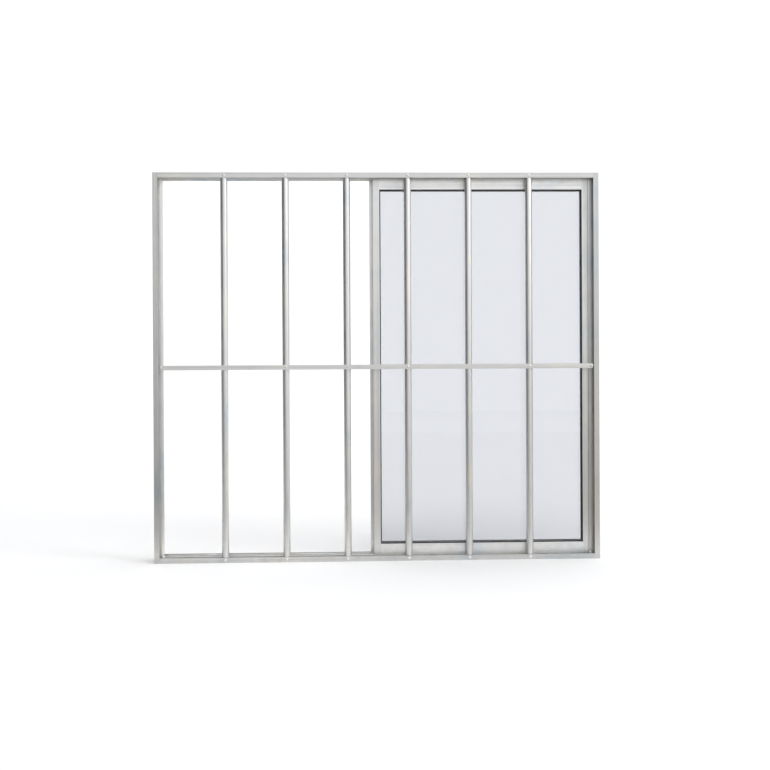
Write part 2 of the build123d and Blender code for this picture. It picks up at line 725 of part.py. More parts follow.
def keeper_screws():
    """Pan-head screws that hold the keepers to the jambs."""
    with BuildPart() as screws:
        for side, y in ((1, front_y), (-1, rear_y)):
            middle = y + bolt_t + bolt_thickness / 2
            for z in (keeper_z - keeper_screw_spacing / 2, keeper_z + keeper_screw_spacing / 2):
                start = (side * (x_web - keeper_thickness), middle, z)
                rod(start, (side, 0, 0), keeper_screw_radius, keeper_thickness + wall)
                rod(start, (-side, 0, 0), keeper_screw_head_radius, keeper_screw_head_height)
    return screws.part


def latch_case(sash):
    """Flush pan let into the stile's room face, with a slot in its floor for the slider."""
    x = sash_x(sash, case_inset)
    face = sash.y + sash_depth
    floor = sash.y + case_floor_t
    with BuildPart() as case:
        box_between((x - case_width / 2, floor, middle_z - case_length / 2),
                    (x + case_width / 2, face, middle_z + case_length / 2))
        box_between((x - case_flange_width / 2, face, middle_z - case_flange_length / 2),
                    (x + case_flange_width / 2, face + case_flange, middle_z + case_flange_length / 2))
        half_width = case_width / 2 - case_wall
        half_length = case_length / 2 - case_wall
        box_between((x - half_width, floor + case_wall, middle_z - half_length),
                    (x + half_width, face + overcut, middle_z + half_length), Mode.SUBTRACT)
        slot_half = neck_length / 2 + slider_gap
        box_between((x - neck_width / 2 - slider_gap, floor - overcut,
                     middle_z - slot_half - latch_travel / 2),
                    (x + neck_width / 2 + slider_gap, face, middle_z + slot_half + latch_travel / 2),
                    Mode.SUBTRACT)
        for z in (middle_z - case_screw_spacing / 2, middle_z + case_screw_spacing / 2):
            rod((x, face - overcut, z), (0, 1, 0), case_screw_head_radius + screw_hole_gap,
                case_flange + 2 * overcut, Mode.SUBTRACT)
    return case.part


def latch_screws(sash):
    """Small flat-head screws of the latch case."""
    x = sash_x(sash, case_inset)
    face = sash.y + sash_depth
    with BuildPart() as screws:
        for z in (middle_z - case_screw_spacing / 2, middle_z + case_screw_spacing / 2):
            rod((x, face + case_flange, z), (0, -1, 0), case_screw_head_radius, case_flange)
            rod((x, face, z), (0, -1, 0), case_screw_radius, case_screw_length)
            box_between((x - case_screw_slot[0] / 2, face + case_flange / 2, z - case_screw_slot[1] / 2),
                        (x + case_screw_slot[0] / 2, face + case_flange + overcut,
                         z + case_screw_slot[1] / 2), Mode.SUBTRACT)
    return screws.part


def latch_slider(sash):
    """Ridged thumb piece in the case, its neck, and the bolt behind the case's floor."""
    x = sash_x(sash, case_inset)
    low = middle_z - latch_travel / 2
    knob_y = sash.y + case_floor_t + case_wall + slider_gap
    bolt_y = sash.y + bolt_t
    with BuildPart() as slider:
        box_between((x - knob_width / 2, knob_y, low - knob_length / 2),
                    (x + knob_width / 2, knob_y + knob_height, low + knob_length / 2))
        for i in range(knob_grooves):
            z = low + knob_groove_pitch * (i - (knob_grooves - 1) / 2)
            box_between((x - knob_width, knob_y + knob_height - knob_groove_depth, z - knob_groove_width / 2),
                        (x + knob_width, knob_y + knob_height + overcut, z + knob_groove_width / 2),
                        Mode.SUBTRACT)
        box_between((x - neck_width / 2, bolt_y, low - neck_length / 2),
                    (x + neck_width / 2, knob_y, low + neck_length / 2))
        box_between((x - bolt_width / 2, bolt_y, middle_z + bolt_rise - bolt_length),
                    (x + bolt_width / 2, bolt_y + bolt_thickness, middle_z + bolt_rise))
    return slider.part


# ---------------------------------------------------------------- build and write every piece
os.makedirs("parts", exist_ok=True)

save(frame_rail(height, -1), "frame_head")
save(frame_rail(0, 1), "frame_sill")
save(jamb(-1), "jamb_left")
save(jamb(1), "jamb_right")
save(frame_screws(), "frame_screws")

for i, x in enumerate(bar_xs):
    save(grille_bar(x, i in riveted_bars), f"grille_bar_{i + 1}")
bar_grip = wall + bar_flange_gap + bar_wall
save(rivet_group(bar_xs, y_front, rivet_inset, bar_grip), "bar_rivets_bottom")
save(rivet_group(bar_xs, y_front, height - rivet_inset, bar_grip), "bar_rivets_top")
save(grille_crossbar(), "grille_crossbar")
save(rivet_group([bar_xs[i] for i in riveted_bars], y_crossbar - crossbar_thickness, middle_z,
                 crossbar_thickness + crossbar_gap + bar_wall), "crossbar_rivets")
save(crossbar_end_spacers(), "crossbar_end_spacers")
save(crossbar_end_screws(), "crossbar_end_screws")
save(corner_sealant(), "corner_sealant")

save(jamb_stops(-1), "jamb_stops_left")
save(jamb_stops(1), "jamb_stops_right")
save(keeper(-1, rear_y), "keeper_left")
save(keeper(1, front_y), "keeper_right")
save(keeper_screws(), "keeper_screws")

for sash in sashes:
    save(meeting_stile(sash), f"{sash.name}_meeting_stile")
    save(jamb_stile(sash), f"{sash.name}_jamb_stile")
    save(sash_rail(sash, sash_top, top_rail_bottom + pocket_depth, -1, True), f"{sash.name}_top_rail")
    save(sash_rail(sash, sash_bottom, web_z + sash_wall, 1, False), f"{sash.name}_bottom_rail")
    save(sash_glass(sash), f"{sash.name}_glass")
    save(sash_gasket(sash), f"{sash.name}_gasket")
    save(sash_corner_screws(sash), f"{sash.name}_corner_screws")
    save(sash_brushes(sash), f"{sash.name}_brushes")
    save(roller_housings(sash), f"{sash.name}_roller_housings")
    save(roller_axles(sash), f"{sash.name}_roller_axles")
    for side, x in roller_places(sash):
        save(roller(x, sash.y + sash_depth / 2), f"{sash.name}_wheel_{side}")
    save(latch_case(sash), f"{sash.name}_latch_case")
    save(latch_screws(sash), f"{sash.name}_latch_screws")
    save(latch_slider(sash), f"{sash.name}_latch_slider")
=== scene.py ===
"""Sliding aluminium window with a riveted security grille.

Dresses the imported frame: a finish for every part, pile strips and sealant as made pieces, and a
plain stage with its light and camera. Everything is in metres, in the frame's own axes.
"""

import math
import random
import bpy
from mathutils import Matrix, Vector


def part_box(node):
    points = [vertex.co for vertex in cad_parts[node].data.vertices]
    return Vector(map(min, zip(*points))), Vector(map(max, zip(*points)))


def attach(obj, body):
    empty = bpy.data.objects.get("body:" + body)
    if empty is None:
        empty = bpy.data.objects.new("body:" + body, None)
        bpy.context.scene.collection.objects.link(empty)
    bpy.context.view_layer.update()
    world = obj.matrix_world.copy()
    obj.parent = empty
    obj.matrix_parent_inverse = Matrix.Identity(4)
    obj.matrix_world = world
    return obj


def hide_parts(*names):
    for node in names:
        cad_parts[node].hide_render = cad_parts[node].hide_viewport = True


bl_info = {
    "name": "Window With Security Bars",
    "version": (1, 0, 0),
    "blender": (4, 5, 0),
    "location": "View3D > Sidebar > Window Bars",
    "description": "Finishes, pile strips, sealant and stage for the packed sliding window",
    "category": "Object",
}

import bmesh
import bpy
from bpy.props import FloatProperty, FloatVectorProperty, IntProperty, PointerProperty
from bpy.types import Operator, Panel, PropertyGroup
from mathutils import Matrix, Vector, noise

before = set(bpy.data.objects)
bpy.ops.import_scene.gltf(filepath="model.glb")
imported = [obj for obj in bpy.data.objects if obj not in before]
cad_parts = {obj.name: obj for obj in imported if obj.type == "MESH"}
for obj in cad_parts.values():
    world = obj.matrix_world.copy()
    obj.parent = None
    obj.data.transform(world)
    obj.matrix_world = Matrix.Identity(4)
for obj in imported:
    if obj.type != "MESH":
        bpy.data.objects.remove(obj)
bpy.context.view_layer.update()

MM = 0.001
SASHES = ("front", "rear")
UPRIGHT = "upright"
LEVEL = "level"

# the surfaces behind the front flange begin here, over a short change of tone; the painted light behind the
# flange comes in there
FRONT_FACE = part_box("jamb_left")[0].y
PAINTED_LIGHT_START = FRONT_FACE + 3 * MM
PAINTED_LIGHT_END = FRONT_FACE + 6 * MM

# tones of what settles on the metal and of the darkening towards the sill, and the height that this darkening
# reaches
STREAK_TONE = (0.50, 0.50, 0.49)
SMEAR_TONE = (0.54, 0.54, 0.52)
LOW_DARKENING_TONE = (0.40, 0.39, 0.36)
DUST_TONE = (0.42, 0.41, 0.38)
LOW_DARKENING_TOP = 0.20

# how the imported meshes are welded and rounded
WELD_GAP = 0.005 * MM
FLAT_ANGLE = math.radians(0.5)
SHARP_ANGLE = math.radians(30)
EDGE_SEGMENTS = 2
SAME_POINT_DIGITS = 6


# ---------------------------------------------------------------- sizes and colours to change
class AluminiumSettings(PropertyGroup):
    """Mill-finish aluminium of the frame, the sashes and the grille."""

    colour: FloatVectorProperty(
        name="Colour", description="Clean mill-finish aluminium",
        subtype="COLOR", size=3, min=0, max=1, default=(0.68, 0.68, 0.675))
    # the cool and warm patches are painted reflection of the surroundings, put in the colour
    cool_reflection_tint: FloatVectorProperty(
        name="Cool patches", description="Bluish patches of the drawn surface",
        subtype="COLOR", size=3, min=0, max=1, default=(0.53, 0.59, 0.63))
    warm_reflection_tint: FloatVectorProperty(
        name="Warm patches", description="Straw-coloured patches of the drawn surface",
        subtype="COLOR", size=3, min=0, max=1, default=(0.77, 0.74, 0.68))
    roughness: FloatProperty(
        name="Roughness", description="Dullness of the clean surface",
        subtype="FACTOR", min=0.05, max=1, default=0.36)
    die_lines: FloatProperty(
        name="Die lines", description="Depth of the fine lines that the die leaves",
        subtype="DISTANCE", unit="LENGTH", min=0, max=0.001, default=0.00003, precision=6)
    edge_radius: FloatProperty(
        name="Edge radius", description="Rounding of the extrusions' edges",
        subtype="DISTANCE", unit="LENGTH", min=0, max=0.001, default=0.0002, precision=5)


class GlazingSettings(PropertyGroup):
    """Glass, its channels and the other rubber."""

    glass_tint: FloatVectorProperty(
        name="Glass tint", description="Colour of the light that the panes pass",
        subtype="COLOR", size=3, min=0, max=1, default=(0.838, 0.846, 0.864))
    glass_ior: FloatProperty(
        name="Glass index", description="Refractive index of the panes", min=1.3, max=1.8, default=1.5)
    rubber: FloatVectorProperty(
        name="Rubber", description="Glazing channels and stops",
        subtype="COLOR", size=3, min=0, max=1, default=(0.022, 0.022, 0.026))
    sealant: FloatVectorProperty(
        name="Sealant", description="Silicone dabs in the lower corners",
        subtype="COLOR", size=3, min=0, max=1, default=(0.86, 0.87, 0.87))


class PileSettings(PropertyGroup):
    """Woven pile strips along the sashes."""

    colour: FloatVectorProperty(
        name="Pile", description="Grey polypropylene fibre",
        subtype="COLOR", size=3, min=0, max=1, default=(0.30, 0.31, 0.32))
    tuft_pitch: FloatProperty(
        name="Tuft pitch", description="Distance between tufts along a strip",
        subtype="DISTANCE", unit="LENGTH", min=0.0006, max=0.005, default=0.0012, precision=5)
    tuft_rows: IntProperty(
        name="Rows", description="Rows of tufts across a strip", min=1, max=8, default=3)
    backing: FloatProperty(
        name="Backing", description="Thickness of the woven backing",
        subtype="DISTANCE", unit="LENGTH", min=0.0002, max=0.001, default=0.0005, precision=5)


class HardwareSettings(PropertyGroup):
    """Screws, rivets, keepers, rollers and latches."""

    zinc: FloatVectorProperty(
        name="Zinc plate", description="Plated steel of screws, keepers and housings",
        subtype="COLOR", size=3, min=0, max=1, default=(0.72, 0.73, 0.74))
    rivet: FloatVectorProperty(
        name="Rivets", description="Bright aluminium of the rivets",
        subtype="COLOR", size=3, min=0, max=1, default=(0.93, 0.93, 0.93))
    nylon: FloatVectorProperty(
        name="Nylon", description="Off-white nylon of the rollers",
        subtype="COLOR", size=3, min=0, max=1, default=(0.80, 0.78, 0.72))
    latch: FloatVectorProperty(
        name="Latch plastic", description="Black moulded plastic of the latches",
        subtype="COLOR", size=3, min=0, max=1, default=(0.03, 0.03, 0.032))


class StageSettings(PropertyGroup):
    """Floor, light and camera."""

    floor: FloatVectorProperty(
        name="Floor", description="Pale studio floor and backdrop",
        subtype="COLOR", size=3, min=0, max=1, default=(0.96, 0.96, 0.96))
    sky: FloatProperty(
        name="Soft light", description="Brightness of the studio all round",
        min=0, max=5, default=1.0)
    key_power: FloatProperty(
        name="Key light", description="Power of the large soft light at the upper right",
        subtype="POWER", unit="POWER", min=0, max=2000, default=60)
    backdrop_power: FloatProperty(
        name="Backdrop light", description="Power of the light on the backdrop",
        subtype="POWER", unit="POWER", min=0, max=5000, default=26)
    floor_power: FloatProperty(
        name="Floor light", description="Power of the light over the floor in front",
        subtype="POWER", unit="POWER", min=0, max=2000, default=50)
    lens: FloatProperty(
        name="Lens", description="Focal length on a 36 mm sensor",
        subtype="DISTANCE_CAMERA", min=10, max=300, default=59.18)


class WindowBarSettings(PropertyGroup):
    """All settings of the window."""

    aluminium: PointerProperty(type=AluminiumSettings)
    glazing: PointerProperty(type=GlazingSettings)
    pile: PointerProperty(type=PileSettings)
    hardware: PointerProperty(type=HardwareSettings)
    stage: PointerProperty(type=StageSettings)


# ---------------------------------------------------------------- finishes
class Finish:
    """A material with one shader, and the patterns that feed it."""

    def __init__(self, name, colour, roughness, **sockets):
        self.material = bpy.data.materials.new(name)
        self.material.use_nodes = True
        self.nodes = self.material.node_tree.nodes
        self.links = self.material.node_tree.links
        self.nodes.clear()
        self.shader = self.nodes.new("ShaderNodeBsdfPrincipled")
        output = self.nodes.new("ShaderNodeOutputMaterial")
        self.links.new(self.shader.outputs["BSDF"], output.inputs["Surface"])
        self.shader.inputs["Base Color"].default_value = (*colour, 1)
        self.shader.inputs["Roughness"].default_value = roughness
        for socket, value in sockets.items():
            self.shader.inputs[socket.replace("_", " ")].default_value = value
        self.place = self.nodes.new("ShaderNodeTexCoord").outputs["Object"]

    def noise(self, cells, detail=2.0, rough=0.5, distortion=0.0):
        """Noise with so many cells per metre: one number, or one for each axis."""
        mapping = self.nodes.new("ShaderNodeMapping")
        mapping.inputs["Scale"].default_value = cells if isinstance(cells, tuple) else (cells,) * 3
        self.links.new(self.place, mapping.inputs["Vector"])
        pattern = self.nodes.new("ShaderNodeTexNoise")
        pattern.inputs["Scale"].default_value = 1.0
        pattern.inputs["Detail"].default_value = detail
        pattern.inputs["Roughness"].default_value = rough
        pattern.inputs["Distortion"].default_value = distortion
        self.links.new(mapping.outputs["Vector"], pattern.inputs["Vector"])
        return pattern.outputs["Fac"]

    def ramp(self, vector, axis, start, end):
        """0 where the vector's part along an axis is at start, 1 where it is at end."""
        split = self.nodes.new("ShaderNodeSeparateXYZ")
        self.links.new(vector, split.inputs["Vector"])
        return self.spread(split.outputs[axis], start, end)

    def place_ramp(self, axis, start, end):
        """0 at the place start along an axis, 1 at the place end, both in metres."""
        return self.ramp(self.place, axis, start, end)

    def facing_up(self, start, end):
        """0 on walls and 1 on faces that look up, by the upward part of the normal."""
        return self.ramp(self.nodes.new("ShaderNodeNewGeometry").outputs["Normal"], "Z", start, end)

    def scaled(self, tone, factor):
        """A colour times a pattern."""
        node = self.nodes.new("ShaderNodeVectorMath")
        node.operation = "SCALE"
        self.links.new(tone, node.inputs[0])
        self.links.new(factor, node.inputs["Scale"])
        return node.outputs["Vector"]

    def spread(self, value, from_low, from_high, to_low=0.0, to_high=1.0):
        """Stretches a pattern's range from one pair of values to another, and clips it there."""
        change = self.nodes.new("ShaderNodeMapRange")
        for name, number in (("From Min", from_low), ("From Max", from_high),
                             ("To Min", to_low), ("To Max", to_high)):
            change.inputs[name].default_value = number
        self.links.new(value, change.inputs["Value"])
        return change.outputs["Result"]

    def combine(self, operation, a, b):
        """Arithmetic on two patterns, or a pattern and a number."""
        node = self.nodes.new("ShaderNodeMath")
        node.operation = operation
        for socket, value in zip(node.inputs, (a, b)):
            if isinstance(value, (int, float)):
                socket.default_value = value
            else:
                self.links.new(value, socket)
        return node.outputs["Value"]

    def blend(self, factor, a, b):
        """Mixes two colours by a pattern."""
        node = self.nodes.new("ShaderNodeMix")
        node.data_type = "RGBA"
        self.links.new(factor, node.inputs["Factor"])
        for name, value in (("A", a), ("B", b)):
            socket = [s for s in node.inputs if s.name == name and s.type == "RGBA"][0]
            if isinstance(value, bpy.types.NodeSocket):
                self.links.new(value, socket)
            else:
                socket.default_value = (*value, 1)
        return [s for s in node.outputs if s.type == "RGBA"][0]

    def colour(self, pattern):
        """Feeds the shader's colour."""
        self.links.new(pattern, self.shader.inputs["Base Color"])

    def roughness(self, pattern):
        """Feeds the shader's roughness."""
        self.links.new(pattern, self.shader.inputs["Roughness"])

    def relief(self, *layers):
        """Bumps one over another; each layer is a pattern and its depth in metres."""
        normal = None
        for pattern, depth in layers:
            bump = self.nodes.new("ShaderNodeBump")
            bump.inputs["Strength"].default_value = 1.0
            bump.inputs["Distance"].default_value = depth
            self.links.new(pattern, bump.inputs["Height"])
            if normal is not None:
                self.links.new(normal, bump.inputs["Normal"])
            normal = bump.outputs["Normal"]
        self.links.new(normal, self.shader.inputs["Normal"])


def along(direction, across, lengthwise):
    """Cells per metre for a member that stands upright or lies level."""
    return (across, across, lengthwise) if direction == UPRIGHT else (lengthwise, across, across)


def aluminium(settings, name, direction, painted_light_scale=1.0, painted_light_behind=1.0):
    """Drawn aluminium: die lines along the member, cool and warm patches of painted reflection, smears and
    sill dust.

    One scale brightens or darkens all tones, as painted light and shade for each member, and the other
    brightens what lies behind the front flange, as painted light there.
    """
    # painted light and shade: every tone of this member is scaled brighter or darker
    def with_painted_light(tone):
        return [min(1.0, painted_light_scale * c) for c in tone]

    clean = with_painted_light(settings.colour)
    skin = Finish(name, clean, settings.roughness, Metallic=1.0)
    patches = skin.noise(along(direction, 9.0, 6.0), detail=3.0, rough=0.55, distortion=0.4)
    streaks = skin.noise(along(direction, 260.0, 1.4))
    die_lines = skin.noise(along(direction, 1500.0, 2.5), detail=1.0)
    smears = skin.noise(34.0, detail=5.0, rough=0.65, distortion=0.8)

    # each layer's share: the stretch of its pattern over which it comes in, its least and its most
    # the cool and warm patches are painted reflection of the surroundings
    cool_reflection_share = skin.spread(patches, 0.56, 0.72, 0.0, 0.8)
    warm_reflection_share = skin.spread(patches, 0.46, 0.30, 0.0, 0.8)
    streaked = skin.spread(streaks, 0.40, 0.68, 0.0, 0.48)
    smeared = skin.spread(smears, 0.58, 0.80, 0.0, 0.35)
    # darker towards the sill, in patches
    near_sill = skin.place_ramp("Z", LOW_DARKENING_TOP, 0.0)
    low_darkening = skin.combine("MULTIPLY", near_sill, skin.spread(smears, 0.35, 0.75, 0.25, 1.0))
    low_darkening = skin.combine("MULTIPLY", low_darkening, 0.45)
    dust = skin.combine("MULTIPLY", skin.facing_up(0.6, 0.95), skin.spread(smears, 0.3, 0.7, 0.3, 0.6))

    tone = clean
    for share, layer in ((cool_reflection_share, settings.cool_reflection_tint), (warm_reflection_share, settings.warm_reflection_tint),
                         (streaked, STREAK_TONE), (smeared, SMEAR_TONE),
                         (low_darkening, LOW_DARKENING_TONE), (dust, DUST_TONE)):
        tone = skin.blend(share, tone, with_painted_light(layer))
    # painted light: surfaces behind the front flange are made brighter
    if painted_light_behind != 1.0:
        behind = skin.place_ramp("Y", PAINTED_LIGHT_START, PAINTED_LIGHT_END)
        tone = skin.scaled(tone, skin.spread(behind, 0.0, 1.0, 1.0, painted_light_behind))
    skin.colour(tone)

    dull = skin.spread(smears, 0.3, 0.8, settings.roughness - 0.06, settings.roughness + 0.14)
    dull = skin.combine("ADD", dull, skin.combine("MULTIPLY", dust, 0.35))
    skin.roughness(skin.combine("ADD", dull, skin.spread(streaks, 0.3, 0.7, -0.04, 0.06)))
    skin.relief((die_lines, settings.die_lines), (smears, settings.die_lines * 1.5))
    return skin.material


def bright_rivet(settings):
    """Pressed aluminium, slightly smeared."""
    smeared = (0.76, 0.77, 0.78)
    skin = Finish("rivet_heads", settings.rivet, roughness=0.28, Metallic=1.0)
    smears = skin.noise(700.0, detail=3.0)
    skin.colour(skin.blend(skin.spread(smears, 0.4, 0.75, 0.0, 0.5), settings.rivet, smeared))
    skin.roughness(skin.spread(smears, 0.3, 0.7, 0.22, 0.40))
    skin.relief((smears, 0.04 * MM))
    return skin.material


def zinc_steel(settings, name, dullness, darkness=0.0):
    """Plated steel with a faint spangle and yellowish passivation."""
    base = [c * (1 - darkness) for c in settings.zinc]
    grey = [c * 0.86 for c in base]
    yellowish = (base[0] * 1.04, base[1] * 0.98, base[2] * 0.84)
    skin = Finish(name, base, dullness, Metallic=1.0)
    spangle = skin.noise(260.0, detail=1.0)
    film = skin.noise(60.0)
    tone = skin.blend(skin.spread(spangle, 0.4, 0.6, 0.0, 0.5), base, grey)
    skin.colour(skin.blend(skin.spread(film, 0.45, 0.70, 0.0, 0.4), tone, yellowish))
    skin.roughness(skin.spread(spangle, 0.3, 0.7, dullness - 0.06, dullness + 0.10))
    skin.relief((spangle, 0.02 * MM))
    return skin.material


def rubber(settings, name, bloom):
    """Black rubber with a dusty bloom and a fine skin."""
    chalky = [c + bloom for c in settings.rubber]
    skin = Finish(name, settings.rubber, roughness=0.55, Specular_IOR_Level=0.35)
    cloud = skin.noise(45.0, detail=4.0, rough=0.6)
    grain = skin.noise(2600.0, detail=1.0)
    skin.colour(skin.blend(skin.spread(cloud, 0.45, 0.80), settings.rubber, chalky))
    skin.roughness(skin.spread(cloud, 0.3, 0.7, 0.46, 0.68))
    skin.relief((grain, 0.02 * MM))
    return skin.material


def pane_glass(settings):
    """Clear float glass, very slightly wavy, with wiping marks."""
    skin = Finish("pane_glass", settings.glass_tint, roughness=0.0,
                  Transmission_Weight=1.0, IOR=settings.glass_ior)
    wipes = skin.noise((7.0, 7.0, 30.0), detail=4.0, rough=0.6, distortion=1.2)
    wave = skin.noise((5.0, 5.0, 3.0), detail=1.0)
    skin.roughness(skin.spread(wipes, 0.52, 0.85, 0.0, 0.05))
    skin.relief((wave, 0.08 * MM))
    return skin.material


def silicone(settings):
    """Skinned-over sealant, milky, with caught dust."""
    dusty = (0.62, 0.61, 0.58)
    scatter = 4 * MM
    skin = Finish("silicone_skin", settings.sealant, roughness=0.32,
                  Subsurface_Weight=0.25, Subsurface_Radius=(scatter, scatter, scatter))
    dust = skin.noise(420.0, detail=4.0, rough=0.7)
    skin.colour(skin.blend(skin.spread(dust, 0.55, 0.85, 0.0, 0.6), settings.sealant, dusty))
    skin.roughness(skin.spread(dust, 0.3, 0.7, 0.26, 0.48))
    skin.relief((dust, 0.15 * MM))
    return skin.material


def moulded_plastic(settings):
    """Black moulded plastic with spark-eroded grain and rubbed patches."""
    rubbed = [c + 0.035 for c in settings.latch]
    skin = Finish("latch_plastic_grain", settings.latch, roughness=0.42)
    grain = skin.noise(1900.0)
    rub = skin.noise(110.0, detail=3.0)
    skin.colour(skin.blend(skin.spread(rub, 0.5, 0.8), settings.latch, rubbed))
    skin.roughness(skin.spread(rub, 0.3, 0.7, 0.50, 0.34))
    skin.relief((grain, 0.03 * MM))
    return skin.material


def turned_nylon(settings):
    """Off-white nylon, greyed where it runs on the track."""
    greyed = (0.46, 0.44, 0.40)
    skin = Finish("roller_nylon_worn", settings.nylon, roughness=0.45,
                  Subsurface_Weight=0.1, Subsurface_Radius=(2 * MM, 2 * MM, 1 * MM))
    wear = skin.noise((240.0, 900.0, 240.0), detail=3.0)
    skin.colour(skin.blend(skin.spread(wear, 0.45, 0.75, 0.0, 0.7), settings.nylon, greyed))
    skin.roughness(skin.spread(wear, 0.3, 0.7, 0.38, 0.6))
    skin.relief((wear, 0.03 * MM))
    return skin.material


def pile_fibre(settings):
    """Grey fibre, paler towards some tufts, with a silky sheen."""
    pale = [c * 1.5 for c in settings.colour]
    dark = [c * 0.6 for c in settings.colour]
    skin = Finish("pile_fibre", settings.colour, roughness=0.8, Sheen_Weight=0.3, Sheen_Roughness=0.5)
    strands = skin.noise(1700.0)
    clumps = skin.noise(90.0)
    tone = skin.blend(skin.spread(strands, 0.35, 0.65), dark, pale)
    skin.colour(skin.blend(skin.spread(clumps, 0.5, 0.8, 0.0, 0.5), tone, dark))
    skin.relief((strands, 0.1 * MM))
    return skin.material


# ---------------------------------------------------------------- shared making
def soften(part, radius):
    """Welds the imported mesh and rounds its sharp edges, without touching the mesh itself."""
    weld = part.modifiers.new("weld", "WELD")
    weld.merge_threshold = WELD_GAP
    flat = part.modifiers.new("clean_flats", "DECIMATE")
    flat.decimate_type = "DISSOLVE"
    flat.angle_limit = FLAT_ANGLE
    edges = part.modifiers.new("edge_rounding", "BEVEL")
    edges.width = radius
    edges.segments = EDGE_SEGMENTS
    edges.limit_method = "ANGLE"
    edges.angle_limit = SHARP_ANGLE
    shading = part.modifiers.new("even_shading", "WEIGHTED_NORMAL")
    shading.keep_sharp = False


def dress(names, material, radius=0.0):
    """Gives the named parts a finish and, where radius isn't 0, rounded edges."""
    for name in names:
        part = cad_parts[name]
        part.data.materials.clear()
        part.data.materials.append(material)
        if radius > 0:
            soften(part, radius)


def new_piece(name, mesh, material, body):
    """Makes a piece of its own and lets it ride on a body."""
    piece = bpy.data.objects.new(name, mesh)
    bpy.context.scene.collection.objects.link(piece)
    piece.data.materials.append(material)
    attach(piece, body)
    return piece


def solids_of(node):
    """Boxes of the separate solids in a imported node, as (low corner, high corner)."""
    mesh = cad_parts[node].data
    group = {}

    def root(key):
        while group[key] != key:
            key = group[key]
        return key

    keys = [tuple(round(c, SAME_POINT_DIGITS) for c in v.co) for v in mesh.vertices]
    for key in keys:
        group.setdefault(key, key)
    for face in mesh.polygons:
        first = root(keys[face.vertices[0]])
        for index in face.vertices[1:]:
            group[root(keys[index])] = first
    solids = {}
    for key in set(keys):
        solids.setdefault(root(key), []).append(key)
    boxes = []
    for points in solids.values():
        low = Vector(min(p[i] for p in points) for i in range(3))
        high = Vector(max(p[i] for p in points) for i in range(3))
        boxes.append((low, high))
    return sorted(boxes, key=lambda pair: tuple(pair[0]))


# ---------------------------------------------------------------- pieces
class WINDOWBARS_OT_outer_frame(Operator):
    """Finish of the head, the sill and the two jambs"""

    bl_idname = "window_bars.outer_frame"
    bl_label = "Outer Frame"

    # painted shade: the left jamb is a darker copy of the jamb finish
    left_painted_shade = 0.92
    # painted light: surfaces behind the flange of the left jamb, the head and the sill are made brighter
    left_painted_light_behind = 1.55
    level_painted_light_behind = 1.4

    def execute(self, context):
        settings = context.scene.window_bars.aluminium
        left = aluminium(settings, "left_jamb", UPRIGHT, self.left_painted_shade, self.left_painted_light_behind)
        right = aluminium(settings, "right_jamb", UPRIGHT)
        level = aluminium(settings, "frame_level", LEVEL, painted_light_behind=self.level_painted_light_behind)
        dress(("jamb_left",), left, settings.edge_radius)
        dress(("jamb_right",), right, settings.edge_radius)
        dress(("frame_head", "frame_sill"), level, settings.edge_radius)
        return {"FINISHED"}


class WINDOWBARS_OT_grille(Operator):
    """Finish of the round bars, the crossbar and its spacers"""

    bl_idname = "window_bars.grille"
    bl_label = "Grille"

    # painted light: the bars and the crossbar are made brighter
    bar_painted_light = 1.22
    crossbar_painted_light = 1.2

    def execute(self, context):
        settings = context.scene.window_bars.aluminium
        bars = sorted(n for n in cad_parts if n.startswith("grille_bar_"))
        if len(bars) < 2:
            raise RuntimeError("the frame has no grille bars")
        upright = aluminium(settings, "bar_upright", UPRIGHT, self.bar_painted_light)
        level = aluminium(settings, "bar_level", LEVEL, self.crossbar_painted_light)
        dress(bars, upright, settings.edge_radius)
        dress(("grille_crossbar", "crossbar_end_spacers"), level, settings.edge_radius)
        return {"FINISHED"}


class WINDOWBARS_OT_sash_members(Operator):
    """Finish of the stiles and rails of both sashes"""

    bl_idname = "window_bars.sash_members"
    bl_label = "Stiles and Rails"

    # painted light: the stiles and rails are made brighter
    stile_painted_light = 1.16
    rail_painted_light = 1.34

    def execute(self, context):
        settings = context.scene.window_bars.aluminium
        upright = aluminium(settings, "sash_upright", UPRIGHT, self.stile_painted_light)
        level = aluminium(settings, "sash_level", LEVEL, self.rail_painted_light)
        for sash in SASHES:
            dress((f"{sash}_meeting_stile", f"{sash}_jamb_stile"), upright, settings.edge_radius)
            dress((f"{sash}_top_rail", f"{sash}_bottom_rail"), level, settings.edge_radius)
        return {"FINISHED"}


class WINDOWBARS_OT_glass(Operator):
    """Clear panes"""

    bl_idname = "window_bars.glass"
    bl_label = "Glass"

    def execute(self, context):
        settings = context.scene.window_bars.glazing
        dress([f"{sash}_glass" for sash in SASHES], pane_glass(settings))
        return {"FINISHED"}


class WINDOWBARS_OT_gaskets(Operator):
    """Black glazing channels with rounded lips"""

    bl_idname = "window_bars.gaskets"
    bl_label = "Glazing Channels"

    lip_radius = 0.6 * MM
    bloom = 0.02

    def execute(self, context):
        channel = rubber(context.scene.window_bars.glazing, "channel_rubber", self.bloom)
        dress([f"{sash}_gasket" for sash in SASHES], channel, self.lip_radius)
        return {"FINISHED"}


